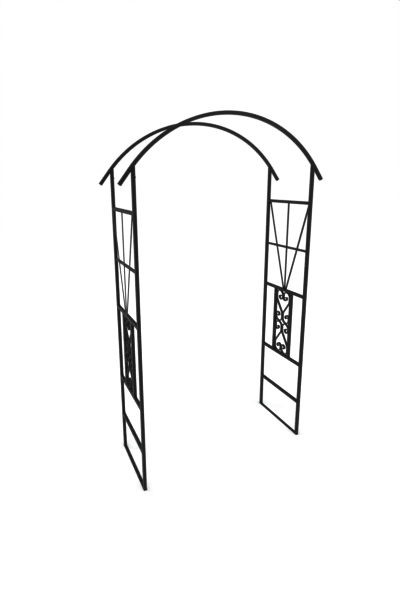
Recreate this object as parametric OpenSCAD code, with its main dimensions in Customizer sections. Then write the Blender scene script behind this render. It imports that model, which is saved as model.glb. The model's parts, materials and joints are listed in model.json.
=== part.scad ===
// Metal trellis arch: two welded side panels joined by two bent tube hoops.
// X runs across the walk-through, Y through the arch and Z up.
// The origin is on the ground, in the middle of the arch.

/* [Overall size] */
// Width between the upright centres of the two side panels
span = 1200; // [900:10:1500]
// Depth between the front and back upright centres
depth = 414; // [300:5:600]
// Height where the uprights meet the hoops, to the middle of the hoop's tube
joint_z = 1954; // [1600:1:2400]
// Rise of each hoop from its uprights to its crown
rise = 280; // [220:5:500]
// Length of the bend that each hoop carries on past its uprights
bend_past = 28; // [0:1:80]
// Straight end of each hoop, after its bend
tail_l = 92; // [40:1:200]

/* [Frame tube] */
// Side of the square frame tube
tube = 19; // [14:0.5:25]
// Wall of the frame tube
tube_wall = 1.5; // [1:0.1:2.5]
// Outer corner radius of the frame tube
tube_corner = 2; // [1.8:0.1:3]

/* [Rail heights] */
// Middle of the lower rail
lower_rail_z = 264; // [120:1:380]
// Middle of the rail under the scroll panel
foot_rail_z = 556; // [440:1:600]
// Middle of the rail over the scroll panel
head_rail_z = 1065; // [1000:1:1200]
// Distance from the hoop joint down to the middle of the top rail, over the fan
top_rail_drop = 247; // [60:1:300]

/* [Foot bar] */
// Width of the flat bar under the uprights
foot_bar_w = 20; // [14:1:40]
// Thickness of the flat bar under the uprights
foot_bar_t = 5; // [3:0.5:10]

/* [Fan] */
// Side of the square bar that crosses the fan
mid_bar = 13; // [8:0.5:14]
// Width of each fan strip
strip_w = 13; // [8:0.5:20]
// Thickness of each fan strip
strip_t = 3; // [2:0.5:4]
// Gap between the fan strips where they meet the head rail
strip_gap = 0.5; // [0.2:0.1:6]

/* [Scroll panel] */
// Distance between the middles of the two stiles
stile_pitch = 161; // [140:1:200]
// Thickness of the scroll bar, across its curves
scroll_t = 7; // [4:0.5:9]
// Depth of the scroll bar, through the panel
scroll_d = 16; // [6:0.5:19]
// Lean of the scroll's leg from upright, in degrees
leg_lean = 33; // [25:1:45]
// Radius of the bend at each end of the leg
leg_bend_r = 40; // [12:1:60]
// Straight piece between the lobe and its coil
coil_drop = 15; // [5:0.5:20]
// Radius of the coil inside the lobe
coil_r = 17.5; // [16:0.5:19]
// Radius of the tip inside the coil
tip_r = 7.5; // [6:0.5:10]
// Turn of the tip, in degrees
tip_turn = 160; // [90:5:200]

/* [Hoop joints] */
// Clearance between the spigot and the inside of the upright
spigot_clearance = 0.5; // [0.2:0.1:1]
// Length of the spigot that is inside the upright
spigot_l = 80; // [40:5:150]
// Distance of the screw below the hoop joint
screw_drop = 45; // [25:1:60]
// Diameter of the spigot screw's shank
screw_d = 5; // [4:0.5:6]
// Length of the spigot screw under its head
screw_l = 12; // [8:1:12]
// Diameter of the spigot screw's head
screw_head_d = 9.5; // [8:0.5:12]
// Height of the spigot screw's head
screw_head_h = 2.8; // [2:0.1:4]
// Width across the flats of the hexagon socket
socket_af = 3; // [2:0.5:4]
// Depth of the hexagon socket
socket_depth = 1.6; // [1:0.1:2]
// Depth of the drilled hole past the end of the screw
drill_extra = 1; // [0.5:0.5:2]
// Clearance round the screw's shank in the upright
screw_clearance = 0.25; // [0.1:0.05:0.5]
// Clearance round the screw's shank in the spigot
thread_clearance = 0.05; // [0.02:0.01:0.1]

/* [Tube plugs] */
// Thickness of the plug's cap
plug_cap = 2.5; // [1.5:0.5:5]
// Length of the plug inside the tube
plug_l = 14; // [8:1:25]
// Clearance between the plug and the tube's wall
plug_clearance = 0.2; // [0.1:0.05:0.5]

/* [Fit] */
// Gap that the weld fills where a curved or mitred piece meets another
weld_gap = 0.2; // [0.1:0.1:1]

/* [Hidden] */
$fn = 64;
EPS = 0.01;
BEND_STEP = 9;
PAINT = "#1d1e20";
ZINC = "#8c8f93";
PLASTIC = "#151515";

half_tube = tube / 2;
bore = tube - 2 * tube_wall;
bore_corner = tube_corner - tube_wall;
clear_depth = depth - tube;

// The hoop's underside is taken as flat where it sits on an upright: over half a tube its bend is far
// less than the weld gap.
crown_z = joint_z + rise;
hoop_r = (pow(span / 2, 2) + pow(rise, 2)) / (2 * rise);
hoop_z = crown_z - hoop_r;
hoop_angle = asin(span / 2 / hoop_r);
end_angle = hoop_angle + bend_past / hoop_r * 180 / PI;
// The uprights' tops follow the underside of the hoop where it crosses the
// middle of the upright.
hoop_under_r = hoop_r - half_tube;
hoop_centre_z = joint_z - hoop_r * cos(hoop_angle);
mitre_angle = min(end_angle, asin(span / 2 / hoop_under_r));
upright_top_z = hoop_centre_z + hoop_under_r * cos(mitre_angle)
    - (span / 2 - hoop_under_r * sin(mitre_angle)) * tan(mitre_angle)
    - weld_gap / cos(mitre_angle);

top_rail_z = joint_z - top_rail_drop;
fan_bottom_z = head_rail_z + half_tube;
fan_top_z = top_rail_z - half_tube;
// The strips are flush with the frame's outer face, and the bar that crosses them lies behind.
strip_x = half_tube - strip_t;
mid_bar_x = strip_x - mid_bar / 2;
mid_bar_z = (head_rail_z + top_rail_z) / 2;
// The outer strips run from beside the middle strip to the corners of the bay.
strip_run = clear_depth / 2 - 1.5 * strip_w - strip_gap;
strip_lean = atan(strip_run / (fan_top_z - fan_bottom_z));
strip_half = strip_w / 2 / cos(strip_lean);
strip_foot_y = strip_w / 2 + strip_gap + strip_half;
strip_top_y = clear_depth / 2 - weld_gap - strip_half;

panel_bottom_z = foot_rail_z + half_tube;
panel_top_z = head_rail_z - half_tube;
panel_mid_z = (panel_bottom_z + panel_top_z) / 2;
half_panel_w = (stile_pitch - tube) / 2;
half_panel_h = (panel_top_z - panel_bottom_z) / 2;
// Each lobe fills the width from the panel's middle to its stile.
lobe_r = (half_panel_w - 2 * weld_gap - scroll_t) / 2;
scroll_y = half_panel_w / 2;
scroll_rise = half_panel_h / 2;
lobe_offset = scroll_rise - weld_gap - scroll_t / 2 - lobe_r;
half_leg = (lobe_r - leg_bend_r * (1 - cos(leg_lean))) / sin(leg_lean);
lobe_straight = lobe_offset - half_leg * cos(leg_lean) - leg_bend_r * sin(leg_lean);

spigot = bore - 2 * spigot_clearance;
screw_z = upright_top_z - screw_drop;

SIDES = ["left", "right"];
ENDS = ["front", "back"];
LEVELS = ["upper", "lower"];
PANEL_PIECES = ["top_rail", "mid_bar", "scroll_head_rail", "scroll_foot_rail", "lower_rail", "foot_bar",
    "middle_fan_strip"];
CORNER_PIECES = ["upright", "fan_strip", "stile", "spigot"];

// A square with round corners.
module round_square(side, corner) {
    inner = side - 2 * corner;
    square([side, inner], center = true);
    square([inner, side], center = true);
    for (x = [-inner / 2, inner / 2], y = [-inner / 2, inner / 2])
        translate([x, y]) circle(corner);
}

// The cross-section of the frame tube.
module tube_section() {
    difference() {
        round_square(tube, tube_corner);
        round_square(bore, bore_corner);
    }
}

// A length of frame tube that runs along Y, with its middle at the origin.
module cross_tube(length) {
    rotate([90, 0, 0]) linear_extrude(length, center = true) tube_section();
}

// Puts a piece that is drawn for the right-hand panel on the side named.
module at_side(side) {
    mirror([side == "left" ? 1 : 0, 0, 0]) translate([span / 2, 0, 0]) children();
}

// Puts a piece that is drawn for the back on the end named.
module at_end(end) {
    mirror([0, end == "front" ? 1 : 0, 0]) children();
}

// Everything above the underside of the hoop, where it sits on an upright.
module above_joint() {
    translate([0, 0, upright_top_z]) rotate([0, mitre_angle, 0])
        translate([-span / 4, -span / 4, 0]) cube(span / 2);
}

// The drilled hole for a spigot screw, from the upright's inner face.
module screw_hole(clearance) {
    translate([-half_tube - EPS, 0, screw_z]) rotate([0, 90, 0])
        cylinder(d = screw_d + 2 * clearance, h = screw_l + drill_extra);
}

module upright() {
    color(PAINT) translate([0, depth / 2, 0]) difference() {
        translate([0, 0, foot_bar_t]) linear_extrude(crown_z) tube_section();
        above_joint();
        screw_hole(screw_clearance);
    }
}

// The bottom of the spigot is square and its top is mitred to the hoop.
module spigot() {
    color(PAINT) translate([0, depth / 2, 0]) difference() {
        translate([-spigot / 2, -spigot / 2, upright_top_z - spigot_l]) cube([spigot, spigot, spigot_l + tube]);
        above_joint();
        screw_hole(thread_clearance);
    }
}

module rail(z) {
    color(PAINT) translate([0, 0, z]) cross_tube(clear_depth);
}

module mid_bar() {
    color(PAINT) translate([mid_bar_x, 0, mid_bar_z])
        cube([mid_bar, clear_depth, mid_bar], center = true);
}

module foot_bar() {
    color(PAINT) translate([-foot_bar_w / 2, -(depth + tube) / 2, 0])
        cube([foot_bar_w, depth + tube, foot_bar_t]);
}

// A fan strip. Its foot and its top are cut level, to butt on the rails.
module fan_strip(foot_y, top_y, half_w) {
    color(PAINT) translate([strip_x, 0, 0]) rotate([90, 0, 90]) linear_extrude(strip_t)
        polygon([
            [foot_y - half_w, fan_bottom_z],
            [foot_y + half_w, fan_bottom_z],
            [top_y + half_w, fan_top_z],
            [top_y - half_w, fan_top_z]
        ]);
}

module stile() {
    color(PAINT) translate([0, stile_pitch / 2, panel_bottom_z])
        linear_extrude(2 * half_panel_h) tube_section();
}

// Stations along a path, each [x, y, heading]. The path starts at the first x, y and heading, and
// each step is [length] for a straight, or [radius, turn] for a bend to the left.
function stations(steps, x, y, heading, i = 0) =
    i == len(steps) ? [[x, y, heading]] :
    len(steps[i]) == 1 ? concat(
        [[x, y, heading]],
        stations(steps, x + steps[i][0] * cos(heading), y + steps[i][0] * sin(heading), heading, i + 1)
    ) :
    let(
        radius = steps[i][0],
        turn = steps[i][1],
        parts = ceil(turn / BEND_STEP),
        centre_x = x - radius * sin(heading),
        centre_y = y + radius * cos(heading),
        around = [for (k = [0:parts])
            let(angle = heading + turn * k / parts)
            [centre_x + radius * sin(angle), centre_y - radius * cos(angle), angle]]
    )
    concat(
        [for (k = [0:parts - 1]) around[k]],
        stations(steps, around[parts][0], around[parts][1], around[parts][2], i + 1)
    );

// The point beside a station, half a bar to its left (1) or to its right (-1).
function beside(station, hand) = [
    station[0] - hand * scroll_t / 2 * sin(station[2]),
    station[1] + hand * scroll_t / 2 * cos(station[2])
];

// The outline of the S, about the middle of its leg. Its two halves are the same, half a turn apart.
module scroll_outline() {
    heading = 90 - leg_lean;
    steps = [
        [leg_bend_r, leg_lean],
        [lobe_straight],
        [lobe_r, 180],
        [coil_drop],
        [coil_r, 180],
        [tip_r, tip_turn]
    ];
    path = stations(steps, half_leg * cos(heading), half_leg * sin(heading), heading);
    last = len(path) - 1;
    half = concat([for (s = path) beside(s, -1)], [for (k = [0:last]) beside(path[last - k], 1)]);
    polygon(concat(half, -1 * half));
}

// The S-shaped scroll of the upper back quarter.
module scroll(level) {
    color(PAINT) translate([0, 0, panel_mid_z]) mirror([0, 0, level == "lower" ? 1 : 0])
        translate([-scroll_d / 2, scroll_y, scroll_rise]) rotate([90, 0, 90])
            linear_extrude(scroll_d) scroll_outline();
}

// One end of the hoop's bend, where its straight end starts.
module hoop_end() {
    rotate(90 - end_angle) translate([hoop_r, 0, 0]) rotate([90, 0, 0]) children();
}

module hoop() {
    color(PAINT) translate([0, depth / 2, hoop_z]) rotate([90, 0, 0]) {
        rotate(90 - end_angle) rotate_extrude(angle = 2 * end_angle, $fn = 360)
            translate([hoop_r, 0]) tube_section();
        for (flip = [0, 1])
            mirror([flip, 0, 0]) hoop_end() translate([0, 0, -EPS]) linear_extrude(tail_l + EPS) tube_section();
    }
}

module plug() {
    translate([0, 0, tail_l]) linear_extrude(plug_cap) round_square(tube, tube_corner);
    translate([0, 0, tail_l - plug_l]) linear_extrude(plug_l + EPS)
        round_square(bore - 2 * plug_clearance, bore_corner);
}

module hoop_end_plugs() {
    color(PLASTIC) for (end = ENDS, flip = [0, 1])
        at_end(end) translate([0, depth / 2, hoop_z]) rotate([90, 0, 0])
            mirror([flip, 0, 0]) hoop_end() plug();
}

// A button-head screw that points outwards, with its head on the upright's inner face.
module spigot_screw() {
    translate([-half_tube, 0, 0]) rotate([0, -90, 0]) difference() {
        union() {
            cylinder(d = screw_head_d, h = screw_head_h);
            translate([0, 0, -screw_l]) cylinder(d = screw_d, h = screw_l + EPS);
        }
        translate([0, 0, screw_head_h - socket_depth])
            cylinder(d = socket_af / cos(30), h = socket_depth + EPS, $fn = 6);
    }
}

module spigot_screws() {
    color(ZINC) for (side = SIDES, end = ENDS)
        at_side(side) at_end(end) translate([0, depth / 2, screw_z]) spigot_screw();
}

for (side = SIDES) {
    at_side(side) rail(top_rail_z);
    at_side(side) mid_bar();
    at_side(side) rail(head_rail_z);
    at_side(side) rail(foot_rail_z);
    at_side(side) rail(lower_rail_z);
    at_side(side) foot_bar();
    at_side(side) fan_strip(0, 0, strip_w / 2);
    for (end = ENDS) {
        corner = str(side, "_", end);
        at_side(side) at_end(end) upright();
        at_side(side) at_end(end) fan_strip(strip_foot_y, strip_top_y, strip_half);
        at_side(side) at_end(end) stile();
        at_side(side) at_end(end) spigot();
        for (level = LEVELS)
            at_side(side) at_end(end) scroll(level);
    }
}
for (end = ENDS)
    at_end(end) hoop();
spigot_screws();
hoop_end_plugs();
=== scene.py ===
import json
import math
import random

import bmesh
import bpy
from mathutils import Euler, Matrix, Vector


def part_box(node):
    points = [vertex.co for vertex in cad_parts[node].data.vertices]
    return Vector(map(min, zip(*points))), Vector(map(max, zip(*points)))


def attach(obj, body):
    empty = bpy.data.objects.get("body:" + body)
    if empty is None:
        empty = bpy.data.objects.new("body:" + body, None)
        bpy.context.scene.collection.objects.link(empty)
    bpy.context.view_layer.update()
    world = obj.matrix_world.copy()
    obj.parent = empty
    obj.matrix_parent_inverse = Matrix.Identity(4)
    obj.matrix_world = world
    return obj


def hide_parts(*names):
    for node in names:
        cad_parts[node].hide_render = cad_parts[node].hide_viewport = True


# A welded steel garden arch under black powder coat. Rails, uprights, stiles, strips, screws and plugs
# keep their CAD shapes. Hoops and scrolls are swept again at a finer step, and weld beads are added.

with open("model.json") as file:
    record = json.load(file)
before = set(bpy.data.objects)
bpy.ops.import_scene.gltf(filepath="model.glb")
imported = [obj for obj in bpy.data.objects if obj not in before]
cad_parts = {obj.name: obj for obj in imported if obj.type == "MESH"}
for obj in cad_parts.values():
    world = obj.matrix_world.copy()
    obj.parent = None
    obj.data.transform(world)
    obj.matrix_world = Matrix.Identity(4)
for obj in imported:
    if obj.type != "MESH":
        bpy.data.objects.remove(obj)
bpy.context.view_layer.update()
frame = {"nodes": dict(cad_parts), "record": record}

scene = bpy.context.scene
SIDES = {"left": -1, "right": 1}
ENDS = {"front": -1, "back": 1}
LEVELS = {"lower": -1, "upper": 1}
STRIPS = ("front_fan_strip", "middle_fan_strip", "back_fan_strip")
X, Y, Z = Vector((1, 0, 0)), Vector((0, 1, 0)), Vector((0, 0, 1))

# Sizes that a node's box doesn't give, in metres. They are the CAD part's own.
TUBE_WALL = 0.0015
TUBE_CORNER = 0.002
HOOP_RISE = 0.280
BEND_PAST = 0.028
BAR_T = 0.007
LEG_LEAN = math.radians(33)
LEG_BEND_R = 0.040
COIL_DROP = 0.015
COIL_R = 0.0175
TIP_R = 0.0075
TIP_TURN = math.radians(160)

# How finely bends are drawn, and how far the scroll bars' long edges and cut ends are rounded.
BEND_STEP = math.radians(6)
HOOP_PARTS = 90
BAR_EDGE = 0.0013
BAR_END_EDGE = 0.0009

# Weld beads: the length of a ripple, the steps that beads are drawn in and how deep they sink.
RIPPLE = 0.0027
OUTLINE_STEP = 0.0012
LINE_STEP = 0.0009
SINK = 0.0004

# A fillet's leg is how far it reaches up each face, and it bulges by a share of that. Away from the
# open side of a joint it turns into a seam. FULL_FILLET and NO_FILLET are the cosines of the angles to
# the open side within which it is all fillet and past which it is all seam.
RAIL_LEG = 0.0030
STILE_LEG = 0.0028
MID_BAR_LEG = 0.0020
STRIP_LEG = 0.0018
FILLET_BULGE = 0.14
NO_FILLET = 0.35
FULL_FILLET = 0.85

# A seam is a low bead over a joint between flush faces. These are its height by joint, its width, the
# share of its width past the end of the bar, and how far its edges and its root are sunk. The root
# reaches from SEAM_ROOT_TOP up the bar to SEAM_ROOT_FOOT past its end.
TUBE_SEAM = 0.0007
FOOT_SEAM = 0.0006
STRIP_SEAM = 0.0005
SEAM_WIDTH = 0.0052
SEAM_PAST_END = 0.62
SEAM_EDGE_SINK = 0.0001
SEAM_ROOT = 0.0012
SEAM_ROOT_TOP = 0.0018
SEAM_ROOT_FOOT = 0.0030

# The corner that a bead follows round solid bar.
SOLID_CORNER = 0.0006

# A tack's half length, half width and height, and how far the lobe's tack sits from the lobe's middle.
TACK_HALF_L = 0.0050
TACK_HALF_W = 0.0032
TACK_H = 0.0016
LOBE_TACK_DROP = 0.004


# ---------------------------------------------------------------- places


def middle(node):
    low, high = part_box(node)
    return (low + high) / 2


def size(node):
    low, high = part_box(node)
    return high - low


TUBE = size("right_lower_rail").z
HALF = TUBE / 2


# ---------------------------------------------------------------- materials


class Nodes:
    """A short way to write a material's node tree."""

    def __init__(self, name):
        self.material = bpy.data.materials.new(name)
        self.material.use_nodes = True
        self.tree = self.material.node_tree
        self.shader = self.tree.nodes["Principled BSDF"]
        self.coords = self.add("ShaderNodeTexCoord").outputs["Object"]

    def add(self, kind, **props):
        node = self.tree.nodes.new(kind)
        for key, value in props.items():
            setattr(node, key, value)
        return node

    def set(self, socket, value):
        if isinstance(value, bpy.types.NodeSocket):
            self.tree.links.new(value, socket)
        else:
            socket.default_value = value

    def math(self, operation, a, b, clamp=False):
        node = self.add("ShaderNodeMath", operation=operation, use_clamp=clamp)
        self.set(node.inputs[0], a)
        self.set(node.inputs[1], b)
        return node.outputs[0]

    def noise(self, scale, detail=2.0, rough=0.5):
        node = self.add("ShaderNodeTexNoise")
        self.set(node.inputs["Vector"], self.coords)
        node.inputs["Scale"].default_value = scale
        node.inputs["Detail"].default_value = detail
        node.inputs["Roughness"].default_value = rough
        return node.outputs["Fac"]

    def ramp(self, value, low, high, to_low=0.0, to_high=1.0):
        node = self.add("ShaderNodeMapRange", interpolation_type="SMOOTHSTEP")
        limits = {"From Min": low, "From Max": high, "To Min": to_low, "To Max": to_high}
        for key, number in limits.items():
            node.inputs[key].default_value = number
        self.set(node.inputs["Value"], value)
        return node.outputs["Result"]

    def mix(self, factor, a, b):
        node = self.add("ShaderNodeMix", data_type="RGBA")
        self.set(node.inputs[0], factor)
        for socket, value in ((node.inputs[6], a), (node.inputs[7], b)):
            self.set(socket, value if isinstance(value, bpy.types.NodeSocket) else (*value, 1.0))
        return node.outputs[2]

    def edges(self, radius):
        """1 on edges and round corners, and 0 on flats."""
        bevel = self.add("ShaderNodeBevel", samples=6)
        bevel.inputs["Radius"].default_value = radius
        facing = self.add("ShaderNodeVectorMath", operation="DOT_PRODUCT")
        self.set(facing.inputs[0], bevel.outputs[0])
        self.set(facing.inputs[1], self.add("ShaderNodeNewGeometry").outputs["Normal"])
        return self.ramp(self.math("SUBTRACT", 1.0, facing.outputs["Value"]), 0.015, 0.12)

    def upward(self):
        """1 where the surface faces the sky."""
        split = self.add("ShaderNodeSeparateXYZ")
        self.set(split.inputs[0], self.add("ShaderNodeNewGeometry").outputs["Normal"])
        return self.ramp(split.outputs["Z"], 0.35, 0.95)

    def bump(self, *layers):
        """Each layer is (height, depth in metres)."""
        normal = None
        for height, depth in layers:
            node = self.add("ShaderNodeBump")
            node.inputs["Strength"].default_value = 1.0
            node.inputs["Distance"].default_value = depth
            self.set(node.inputs["Height"], height)
            if normal:
                self.set(node.inputs["Normal"], normal)
            normal = node.outputs[0]
        self.set(self.shader.inputs["Normal"], normal)


COAT_SPECULAR = 0.42
WORN = (0.135, 0.130, 0.124)
DUST = (0.105, 0.098, 0.088)
SPECK = (0.09, 0.085, 0.08)


def powder_coat(name, deep, pale, smoothest, peel):
    """Satin powder coat: orange peel, dulled patches, dust on top faces and paint rubbed thin on edges.
    smoothest is its least roughness, and peel the height of its orange peel in metres."""
    n = Nodes(name)
    patches = n.noise(5.0, 4.0, 0.6)
    cloud = n.noise(31.0, 3.0, 0.55)
    orange_peel = n.noise(520.0, 2.0, 0.5)
    grit = n.noise(2300.0, 1.0, 0.5)
    rub = n.math("MULTIPLY", n.edges(0.0012), n.ramp(n.noise(85.0, 4.0, 0.62), 0.40, 0.66))
    dust = n.math("MULTIPLY", n.upward(), n.ramp(n.noise(46.0, 4.0, 0.6), 0.34, 0.72))
    specks = n.ramp(n.noise(760.0, 1.0, 0.5), 0.70, 0.76)
    colour = n.mix(n.ramp(patches, 0.32, 0.70), deep, pale)
    colour = n.mix(n.math("MULTIPLY", dust, 0.22), colour, DUST)
    colour = n.mix(n.math("MULTIPLY", specks, 0.10), colour, SPECK)
    colour = n.mix(n.math("MULTIPLY", rub, 0.55), colour, WORN)
    n.set(n.shader.inputs["Base Color"], colour)
    clouded = n.ramp(cloud, 0.25, 0.75, smoothest, smoothest + 0.12)
    rough = n.math("ADD", clouded, n.math("MULTIPLY", grit, 0.05))
    rough = n.math("ADD", rough, n.math("MULTIPLY", dust, 0.14))
    rough = n.math("SUBTRACT", rough, n.math("MULTIPLY", rub, 0.08), clamp=True)
    n.set(n.shader.inputs["Roughness"], rough)
    n.shader.inputs["Specular IOR Level"].default_value = COAT_SPECULAR
    n.bump((orange_peel, peel), (grit, peel * 0.12))
    return n.material


def weld_paint(name, deep, pale):
    """The same coat over a bead, where it is thicker, shinier and less even."""
    n = Nodes(name)
    lumps = n.noise(260.0, 3.0, 0.55)
    colour = n.mix(n.ramp(n.noise(60.0, 3.0), 0.35, 0.65), deep, pale)
    pits = n.ramp(n.noise(900.0, 2.0), 0.66, 0.74)
    colour = n.mix(n.math("MULTIPLY", pits, 0.25), colour, (0.05, 0.038, 0.030))
    n.set(n.shader.inputs["Base Color"], colour)
    n.set(n.shader.inputs["Roughness"], n.ramp(lumps, 0.3, 0.7, 0.34, 0.52))
    n.shader.inputs["Specular IOR Level"].default_value = COAT_SPECULAR
    n.bump((lumps, 0.00022), (n.noise(1400.0, 1.0), 0.00004))
    return n.material


def blackened_steel():
    """Oiled black screw heads, brighter where a key and a hand have touched them."""
    n = Nodes("blackened_steel")
    rub = n.math("MULTIPLY", n.edges(0.0005), n.ramp(n.noise(700.0, 3.0), 0.35, 0.65))
    colour = n.mix(n.ramp(n.noise(420.0, 3.0), 0.35, 0.7), (0.030, 0.030, 0.032), (0.055, 0.054, 0.056))
    n.set(n.shader.inputs["Base Color"], n.mix(rub, colour, (0.22, 0.22, 0.23)))
    n.shader.inputs["Metallic"].default_value = 0.85
    n.set(n.shader.inputs["Roughness"], n.ramp(n.noise(900.0, 2.0), 0.3, 0.7, 0.32, 0.5))
    n.bump((n.noise(2600.0, 2.0), 0.00002))
    return n.material


def black_plastic():
    """Matt moulded plastic with a fine spark-eroded grain."""
    n = Nodes("black_plastic")
    grain = n.noise(2100.0, 2.0, 0.6)
    scuff = n.math("MULTIPLY", n.edges(0.0008), n.ramp(n.noise(240.0, 3.0), 0.4, 0.7))
    colour = n.mix(n.ramp(n.noise(35.0, 3.0), 0.3, 0.7), (0.014, 0.014, 0.0145), (0.021, 0.021, 0.0215))
    colour = n.mix(n.math("MULTIPLY", scuff, 0.5), colour, (0.06, 0.06, 0.06))
    n.set(n.shader.inputs["Base Color"], colour)
    n.set(n.shader.inputs["Roughness"], n.ramp(grain, 0.3, 0.7, 0.56, 0.72))
    n.shader.inputs["Specular IOR Level"].default_value = 0.4
    n.bump((grain, 0.00003))
    return n.material


FRAME_PAINT = powder_coat(
    "frame_paint", (0.0105, 0.0110, 0.0123), (0.0170, 0.0174, 0.0186), 0.36, 0.00005
)
SCROLL_PAINT = powder_coat(
    "scroll_paint", (0.0108, 0.0113, 0.0126), (0.0175, 0.0178, 0.0190), 0.38, 0.00007
)
WELD_PAINT = weld_paint("weld_paint", (0.0105, 0.0108, 0.0118), (0.0180, 0.0180, 0.0186))
STEEL = blackened_steel()
PLASTIC = black_plastic()


# ---------------------------------------------------------------- mesh tools


def finish_piece(name, bm, material, nodes=()):
    """Makes a piece of the arch from a bmesh. nodes are the CAD nodes that it stands in for."""
    bmesh.ops.recalc_face_normals(bm, faces=bm.faces)
    mesh = bpy.data.meshes.new(name)
    bm.to_mesh(mesh)
    bm.free()
    mesh.polygons.foreach_set("use_smooth", [True] * len(mesh.polygons))
    mesh.materials.append(material)
    piece = bpy.data.objects.new(name, mesh)
    scene.collection.objects.link(piece)
    weighted = piece.modifiers.new("flat faces stay flat", "WEIGHTED_NORMAL")
    weighted.weight = 80
    if nodes:
        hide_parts(*nodes)
    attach(piece, "root")


def rounded(half_u, half_v, corner, parts):
    """The outline of a rectangle with round corners, as (u, v, outward u, outward v)."""
    outline = []
    for k, (side_u, side_v) in enumerate(((1, 1), (-1, 1), (-1, -1), (1, -1))):
        corner_u, corner_v = side_u * (half_u - corner), side_v * (half_v - corner)
        for i in range(parts + 1):
            a = math.radians(90 * (k + i / parts))
            u, v = math.cos(a), math.sin(a)
            outline.append((corner_u + corner * u, corner_v + corner * v, u, v))
    return outline


def skin(bm, rings, closed=False):
    """Joins rings of vertices, each as long as the next, side by side."""
    turns = len(rings) if closed else len(rings) - 1
    for i in range(turns):
        a, b = rings[i], rings[(i + 1) % len(rings)]
        for k in range(len(a)):
            m = (k + 1) % len(a)
            bm.faces.new((a[k], a[m], b[m], b[k]))


def stations(steps, heading):
    """Points (x, y, heading) from (0, 0) along straights [length] and left-hand bends [radius, turn]."""
    path = [(0.0, 0.0, heading)]
    for s in steps:
        x, y, heading = path[-1]
        if len(s) == 1:
            path.append((x + s[0] * math.cos(heading), y + s[0] * math.sin(heading), heading))
            continue
        radius, turn = s
        cx, cy = x - radius * math.sin(heading), y + radius * math.cos(heading)
        parts = math.ceil(turn / BEND_STEP)
        for k in range(1, parts + 1):
            a = heading + turn * k / parts
            path.append((cx + radius * math.sin(a), cy - radius * math.cos(a), a))
    return path


# ---------------------------------------------------------------- scrolls


def scroll_sizes(node):
    """(lobe radius, distance of the lobe's centre from the middle of the S) from the node's box."""
    half = size(node) / 2
    lobe_r = half.y - BAR_T / 2
    return lobe_r, half.z - BAR_T / 2 - lobe_r


def scroll_path(lobe_r, lobe_offset):
    """Stations along the middle of an S, from tip to tip. One half is the other one turned round."""
    half_leg = (lobe_r - LEG_BEND_R * (1 - math.cos(LEG_LEAN))) / math.sin(LEG_LEAN)
    straight = lobe_offset - half_leg * math.cos(LEG_LEAN) - LEG_BEND_R * math.sin(LEG_LEAN)
    steps = [
        [half_leg], [LEG_BEND_R, LEG_LEAN], [straight], [lobe_r, math.pi],
        [COIL_DROP], [COIL_R, math.pi], [TIP_R, TIP_TURN],
    ]
    half = stations(steps, math.pi / 2 - LEG_LEAN)[1:]
    return [(-x, -y, h) for x, y, h in reversed(half)] + half


def make_scroll(side, end, level):
    """A scroll swept along its path, with its long edges and both cut ends rounded."""
    node = f"{side}_{end}_{level}_scroll"
    centre = middle(node)
    depth = size(node).x / 2
    path = scroll_path(*scroll_sizes(node))
    bm = bmesh.new()
    rings = []

    def ring(x, y, h, inset):
        points = []
        for across, through, *_ in rounded(BAR_T / 2 - inset, depth - inset, BAR_EDGE, 4):
            px, py = x - across * math.sin(h), y + across * math.cos(h)
            points.append(bm.verts.new(centre + Vector((through, ENDS[end] * px, LEVELS[level] * py))))
        return points

    last = len(path) - 1
    for i, (x, y, h) in enumerate(path):
        if i in (0, last):
            back = BAR_END_EDGE if i == 0 else -BAR_END_EDGE
            near = ring(x + back * math.cos(h), y + back * math.sin(h), h, 0.0)
            far = ring(x, y, h, BAR_END_EDGE * 0.7)
            rings += [far, near] if i == 0 else [near, far]
        else:
            rings.append(ring(x, y, h, 0.0))
    skin(bm, rings)
    bm.faces.new(rings[0])
    bm.faces.new(rings[-1])
    finish_piece(f"{node}_bar", bm, SCROLL_PAINT, nodes=[node])


# ---------------------------------------------------------------- hoops


def hoop_path(node):
    """Stations along the middle of a hoop, in X and Z, from its left end to its right end."""
    half_span = middle("right_front_upright").x
    radius = (half_span**2 + HOOP_RISE**2) / (2 * HOOP_RISE)
    angle = math.asin(half_span / radius) + BEND_PAST / radius
    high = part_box(node)[1]
    centre_z = high.z - HALF - radius
    tail = (high.x - radius * math.sin(angle) - HALF * math.sin(angle)) / math.cos(angle)
    path = []
    for k in range(HOOP_PARTS + 1):
        a = -angle + 2 * angle * k / HOOP_PARTS
        path.append((radius * math.sin(a), centre_z + radius * math.cos(a), -a))
    ends = []
    for x, z, h in (path[0], path[-1]):
        out = -1 if x < 0 else 1
        ends.append((x + out * tail * math.cos(h), z + out * tail * math.sin(h), h))
    return [ends[0]] + path + [ends[1]]


def make_hoop(end):
    """A bent tube with its bore, open at both ends."""
    node = f"{end}_hoop"
    y = middle(node).y
    bm = bmesh.new()
    skins = []
    for half, corner in ((HALF, TUBE_CORNER), (HALF - TUBE_WALL, TUBE_CORNER - TUBE_WALL)):
        outline = rounded(half, half, corner, 6)
        rings = []
        for x, z, h in hoop_path(node):
            at, out = Vector((x, y, z)), Vector((-math.sin(h), 0, math.cos(h)))
            rings.append([bm.verts.new(at + out * u + Y * v) for u, v, *_ in outline])
        skin(bm, rings)
        skins.append(rings)
    for k in (0, -1):
        skin(bm, [skins[0][k], skins[1][k]])
    finish_piece(f"{node}_tube", bm, FRAME_PAINT, nodes=[node])


# ---------------------------------------------------------------- welds


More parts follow.
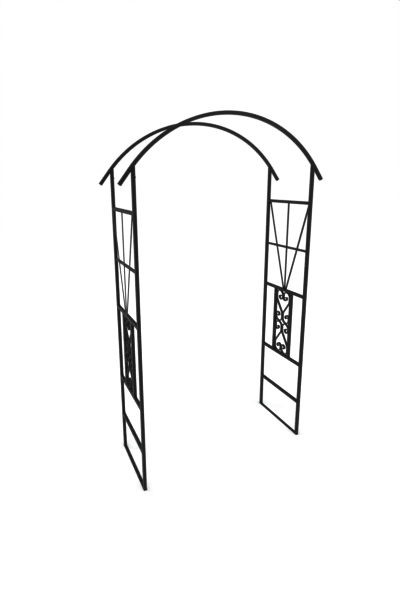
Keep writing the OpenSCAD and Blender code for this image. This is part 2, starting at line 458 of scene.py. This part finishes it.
class Welds:
    """All the beads of one part of the arch, as one mesh of separate closed beads."""

    def __init__(self, seed):
        self.bm = bmesh.new()
        self.random = random.Random(seed)

    def ripple(self, travelled, pitch):
        """How full the bead is along its length, as a row of overlapping puddles."""
        wave = abs(math.sin(math.pi * travelled / pitch))
        return 0.93 + 0.13 * wave

    def around(self, centre, along, u, v, half_u, half_v, corner, fillets, leg, seam=TUBE_SEAM):
        """A bead round the end of a bar that butts on a face. along points from the face up the bar.
        Where the outward direction is one of fillets the bead fills the corner, and elsewhere it is a
        low seam."""
        outline = rounded(half_u, half_v, corner, 5)
        points = []
        for k, (a, b, na, nb) in enumerate(outline):
            c, d, nc, nd = outline[(k + 1) % len(outline)]
            gap = math.hypot(c - a, d - b)
            parts = max(1, round(gap / OUTLINE_STEP))
            for i in range(parts):
                t = i / parts
                n = Vector((na + (nc - na) * t, nb + (nd - nb) * t)).normalized()
                points.append((a + (c - a) * t, b + (d - b) * t, n.x, n.y, gap / parts))
        total = sum(p[4] for p in points)
        puddles = max(4, round(total / RIPPLE))
        pitch = total / puddles
        phase = self.random.uniform(0, pitch)
        wander = [self.random.uniform(0.90, 1.10) for _ in range(puddles)]
        rings, travelled = [], 0.0
        for a, b, na, nb, gap in points:
            where = (travelled + phase) / pitch
            i, t = int(where) % puddles, where % 1
            unsteady = wander[i] * (1 - t) + wander[(i + 1) % puddles] * t
            big = self.ripple(travelled + phase, pitch) * unsteady
            outward = u * na + v * nb
            open_side = max([0.0] + [outward.dot(f) for f in fillets])
            share = min(1.0, max(0.0, (open_side - NO_FILLET) / (FULL_FILLET - NO_FILLET)))
            share = share * share * (3 - 2 * share)
            base = centre + u * a + v * b
            section = self.section(share, leg * big, seam * big)
            rings.append([self.bm.verts.new(base + outward * p + along * q) for p, q in section])
            travelled += gap
        skin(self.bm, rings, closed=True)

    def section(self, share, leg, seam):
        """Points (out, along) of the bead's section: a fillet where share is 1 and a seam where it is 0."""
        parts = 7
        points = []
        for k in range(parts + 1):
            t = k / parts
            hump = math.sin(math.pi * t)
            bulge = FILLET_BULGE * leg * hump
            fillet = ((1 - t) * leg + bulge, t * leg + bulge)
            low = (seam * hump - SEAM_EDGE_SINK, (t - SEAM_PAST_END) * SEAM_WIDTH)
            points.append([f * share + g * (1 - share) for f, g in zip(fillet, low)])
        back = -SEAM_ROOT * (1 - share) - SINK * share
        points.append((back, leg * share + SEAM_ROOT_TOP * (1 - share)))
        points.append((back, -SINK * share - SEAM_ROOT_FOOT * (1 - share)))
        return points

    def line(self, start, finish, a, b, leg):
        """A short fillet from start to finish, in the corner that opens towards a and b."""
        length = (finish - start).length
        forward = (finish - start) / length
        parts = max(6, round(length / LINE_STEP))
        puddles = max(2, round(length / RIPPLE))
        phase = self.random.uniform(0, RIPPLE)
        rings = []
        for k in range(parts + 1):
            s = length * k / parts
            taper = math.sqrt(max(0.0, 1 - (2 * k / parts - 1) ** 6))
            big = leg * (0.25 + 0.75 * taper) * self.ripple(s + phase, length / puddles)
            base = start + forward * s
            rings.append([self.bm.verts.new(base + a * p + b * q) for p, q in self.section(1.0, big, 0.0)])
        skin(self.bm, rings)
        self.bm.faces.new(rings[0])
        self.bm.faces.new(rings[-1])

    def tack(self, point, long, wide, up, big):
        """A flattened blob of weld that stands up from point, big times the usual length and width."""
        half_l, half_w = TACK_HALF_L * big, TACK_HALF_W * big
        rows, cols = 7, 14
        lean = self.random.uniform(-0.25, 0.25)
        lumps = [self.random.uniform(0.86, 1.12) for _ in range(cols)]
        rings = []
        for r in range(rows):
            polar = math.pi / 2 * (r / (rows - 0.5))
            ring = []
            for c in range(cols):
                a = 2 * math.pi * c / cols
                edge = lumps[c] * (1 + 0.06 * math.cos(3 * a))
                side = math.cos(polar) * edge
                length = half_l * side * math.cos(a) + half_w * lean * side * math.sin(a)
                width = half_w * side * math.sin(a)
                at = point + long * length + wide * width + up * (TACK_H * math.sin(polar))
                ring.append(self.bm.verts.new(at))
            rings.append(ring)
        foot = [self.bm.verts.new(v.co - up * SEAM_ROOT) for v in rings[0]]
        skin(self.bm, [foot] + rings)
        self.bm.faces.new(foot)
        top = self.bm.verts.new(point + up * TACK_H)
        for c in range(cols):
            self.bm.faces.new((rings[-1][c], rings[-1][(c + 1) % cols], top))

    def done(self, name):
        finish_piece(name, self.bm, WELD_PAINT)


def weld_both_ends(welds, node, half_x, half_z, corner, fillets, leg):
    """Beads round both ends of a bar that runs along Y between two uprights."""
    low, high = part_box(node)
    centre = (low + high) / 2
    for face, along in ((low.y, Y), (high.y, -Y)):
        end = Vector((centre.x, face, centre.z))
        welds.around(end, along, X, Z, half_x, half_z, corner, fillets, leg)


def rail_welds(side):
    """Where the rails meet the uprights."""
    for rail in ("top_rail", "scroll_head_rail", "scroll_foot_rail", "lower_rail"):
        welds = Welds(f"{side} {rail}")
        weld_both_ends(welds, f"{side}_{rail}", HALF, HALF, TUBE_CORNER, (Z, -Z), RAIL_LEG)
        welds.done(f"{side}_{rail}_welds")


def mid_bar_welds(side):
    """Where the mid bar meets the uprights, and where the fan strips cross it."""
    welds = Welds(f"{side} mid bar")
    node = f"{side}_mid_bar"
    centre, half = middle(node), size(node) / 2
    weld_both_ends(welds, node, half.x, half.z, SOLID_CORNER, (X, -X, Z, -Z), MID_BAR_LEG)
    low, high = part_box(node)
    out = X * SIDES[side]
    face = high.x if side == "right" else low.x
    for foot, top, half_w in strips(side):
        run = (top - foot).normalized()
        edge = Vector((0, run.z, -run.y))
        at = foot + run * ((centre.z - foot.z) / run.z)
        at.x = face
        width = half_w * run.z
        reach = run * (half.z * 0.92)
        for hand in (-1, 1):
            corner = at + edge * (hand * width)
            welds.line(corner - reach, corner + reach, out, edge * hand, STRIP_LEG)
    welds.done(f"{side}_mid_bar_welds")


def strips(side):
    """(middle of the foot, middle of the top, half width along Y) of each fan strip."""
    found = []
    for name in STRIPS:
        node = f"{side}_{name}"
        low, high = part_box(node)
        x = (low.x + high.x) / 2
        halfway = (low.z + high.z) / 2
        vertices = [v.co for v in frame["nodes"][node].data.vertices]
        foot = [v.y for v in vertices if v.z < halfway]
        top = [v.y for v in vertices if v.z >= halfway]
        foot_middle = Vector((x, (min(foot) + max(foot)) / 2, low.z))
        top_middle = Vector((x, (min(top) + max(top)) / 2, high.z))
        found.append((foot_middle, top_middle, (max(foot) - min(foot)) / 2))
    return found


def fan_welds(side):
    """Where the strips butt on the head rail and the top rail."""
    welds = Welds(f"{side} fan")
    out = X * SIDES[side]
    thick = size(f"{side}_middle_fan_strip").x / 2
    for foot, top, half_w in strips(side):
        run = (top - foot).normalized()
        for point, along in ((foot, run), (top, -run)):
            welds.around(
                point, along, X, Y, thick, half_w, SOLID_CORNER, (-out, Y, -Y), STRIP_LEG, STRIP_SEAM
            )
    welds.done(f"{side}_fan_welds")


def stile_welds(side):
    """Where the stiles stand between the scroll panel's rails."""
    welds = Welds(f"{side} stiles")
    for end in ENDS:
        low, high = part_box(f"{side}_{end}_stile")
        centre = (low + high) / 2
        for face, along in ((low.z, Z), (high.z, -Z)):
            end_middle = Vector((centre.x, centre.y, face))
            welds.around(end_middle, along, X, Y, HALF, HALF, TUBE_CORNER, (Y, -Y), STILE_LEG)
    welds.done(f"{side}_stile_welds")


def foot_welds(side):
    """Where the uprights stand on the foot bar."""
    welds = Welds(f"{side} feet")
    for end, hand in ENDS.items():
        node = f"{side}_{end}_upright"
        centre = middle(node)
        centre.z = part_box(node)[0].z
        welds.around(centre, Z, X, Y, HALF, HALF, TUBE_CORNER, (Y * -hand,), RAIL_LEG, FOOT_SEAM)
    welds.done(f"{side}_foot_welds")


def scroll_welds(side):
    """Tacks on both faces wherever a scroll touches a rail, a stile or another scroll."""
    welds = Welds(f"{side} scrolls")
    for end, hand in ENDS.items():
        for level, lift in LEVELS.items():
            node = f"{side}_{end}_{level}_scroll"
            centre, half = middle(node), size(node) / 2
            lobe_r, offset = scroll_sizes(node)
            reach = lobe_r + BAR_T / 2
            tall = offset + reach
            touches = [
                (0.0, tall, Y), (reach, offset - LOBE_TACK_DROP, Z), (reach, COIL_DROP / 2 - offset, Z),
            ]
            if end == "front":
                touches += [(-reach, offset - COIL_DROP / 2, Z), (-reach, -offset, Z)]
            if level == "lower":
                touches.append((0.0, -tall, Y))
            for y, z, long in touches:
                for face in (-1, 1):
                    point = centre + Vector((face * (half.x - SINK), hand * y, lift * z))
                    wide = Z if long == Y else Y
                    welds.tack(point, long, wide, X * face, welds.random.uniform(0.9, 1.1))
    welds.done(f"{side}_scroll_welds")


# ---------------------------------------------------------------- pieces that stay


def bevel(node, width):
    """Rounds a sharp-edged CAD bar's edges, as rolled or moulded stock has them."""
    piece = frame["nodes"][node]
    rounding = piece.modifiers.new("rolled edges", "BEVEL")
    rounding.width = width
    rounding.segments = 3
    rounding.limit_method = "ANGLE"
    rounding.angle_limit = math.radians(50)
    rounding.harden_normals = True
    piece.data.polygons.foreach_set("use_smooth", [True] * len(piece.data.polygons))


def finish_cad_nodes():
    """Paints every CAD node by its slot and rounds the solid bars."""
    finishes = {
        "frame_paint": FRAME_PAINT, "scroll_paint": SCROLL_PAINT, "spigot_paint": FRAME_PAINT,
        "screw_steel": STEEL, "plug_plastic": PLASTIC,
    }
    slots = {p["node"]: p["material_slot"] for p in frame["record"]["subparts"]}
    for name, piece in frame["nodes"].items():
        piece.data.materials.clear()
        piece.data.materials.append(finishes[slots[name]])
    for side in SIDES:
        bevel(f"{side}_mid_bar", 0.0010)
        bevel(f"{side}_foot_bar", 0.0008)
        for name in STRIPS:
            bevel(f"{side}_{name}", 0.0005)


# ---------------------------------------------------------------- stage


def add_camera():
    data = bpy.data.cameras.new("camera")
    data.sensor_width = 36.0
    data.lens = 21.562
    data.shift_x, data.shift_y = 0.0617, -0.0748
    data.clip_start, data.clip_end = 0.05, 60.0
    camera = bpy.data.objects.new("camera", data)
    camera.location = (-1.1912, -2.0031, 1.8787)
    camera.rotation_euler = Euler([math.radians(a) for a in (78.135, 1.265, -22.852)], "XYZ")
    scene.collection.objects.link(camera)
    scene.camera = camera


def add_world():
    """A white studio, which lights the arch less than it shows."""
    world = bpy.data.worlds.new("world")
    world.use_nodes = True
    tree = world.node_tree
    shown = tree.nodes["Background"]
    shown.inputs["Color"].default_value = (1, 1, 1, 1)
    lit = tree.nodes.new("ShaderNodeBackground")
    lit.inputs["Color"].default_value = (0.985, 0.99, 1, 1)
    lit.inputs["Strength"].default_value = 0.42
    mix = tree.nodes.new("ShaderNodeMixShader")
    ray = tree.nodes.new("ShaderNodeLightPath")
    tree.links.new(ray.outputs["Is Camera Ray"], mix.inputs[0])
    tree.links.new(lit.outputs[0], mix.inputs[1])
    tree.links.new(shown.outputs[0], mix.inputs[2])
    tree.links.new(mix.outputs[0], tree.nodes["World Output"].inputs["Surface"])
    scene.world = world


def add_floor():
    reach = 14.0
    corners = [(-reach, -reach, 0), (reach, -reach, 0), (reach, reach, 0), (-reach, reach, 0)]
    mesh = bpy.data.meshes.new("floor")
    mesh.from_pydata(corners, [], [(0, 1, 2, 3)])
    floor = bpy.data.objects.new("floor", mesh)
    scene.collection.objects.link(floor)
    material = bpy.data.materials.new("floor")
    material.use_nodes = True
    shader = material.node_tree.nodes["Principled BSDF"]
    shader.inputs["Base Color"].default_value = (0.93, 0.93, 0.93, 1)
    shader.inputs["Roughness"].default_value = 0.9
    shader.inputs["Specular IOR Level"].default_value = 0.1
    mesh.materials.append(material)


def add_sky():
    """A wide, even light from above, which keeps the floor white all the way out."""
    data = bpy.data.lights.new("sky", "SUN")
    data.energy = 2.25
    data.angle = math.radians(80)
    light = bpy.data.objects.new("sky", data)
    light.rotation_euler = (math.radians(10), math.radians(-12), 0)
    scene.collection.objects.link(light)


def add_light(name, place, aim, across, watts):
    data = bpy.data.lights.new(name, "AREA")
    data.shape = "RECTANGLE"
    data.size, data.size_y = across
    data.energy = watts
    light = bpy.data.objects.new(name, data)
    light.location = place
    light.rotation_mode = "QUATERNION"
    light.rotation_quaternion = (Vector(aim) - Vector(place)).to_track_quat("-Z", "Y")
    light.visible_camera = False
    scene.collection.objects.link(light)


# How bright each level of light is shown. The middle is held down, so that a thin bar's soft edge on
# the white ground keeps its weight, and the paint keeps its contrast.
SHOWN = {
    0.020: 0.055, 0.045: 0.098, 0.070: 0.134, 0.100: 0.170, 0.150: 0.220, 0.220: 0.280,
    0.320: 0.365, 0.450: 0.482, 0.600: 0.620, 0.750: 0.762, 0.880: 0.887,
}


def linear(shown):
    """The light that a screen gives off for a level as shown, by the upper part of the sRGB curve."""
    return ((shown + 0.055) / 1.055) ** 2.4


def add_print_curve():
    """Sets the view's combined curve to SHOWN."""
    view = scene.view_settings
    view.view_transform = "Standard"
    view.use_curve_mapping = True
    curve = view.curve_mapping.curves[3]
    for light, shown in SHOWN.items():
        curve.points.new(light, linear(shown))
    view.curve_mapping.update()


def add_stage():
    add_print_curve()
    add_world()
    add_floor()
    add_sky()
    chest = (0, 0, 1.2)
    add_light("key", (3.4, -5.4, 3.2), chest, across=(3.2, 3.2), watts=85)
    add_light("rim", (-4.4, 4.2, 2.6), chest, across=(2.0, 3.2), watts=60)
    add_camera()


# ---------------------------------------------------------------- the arch

finish_cad_nodes()
for side in SIDES:
    for end in ENDS:
        for level in LEVELS:
            make_scroll(side, end, level)
    rail_welds(side)
    mid_bar_welds(side)
    fan_welds(side)
    stile_welds(side)
    foot_welds(side)
    scroll_welds(side)
for end in ENDS:
    make_hoop(end)
add_stage()
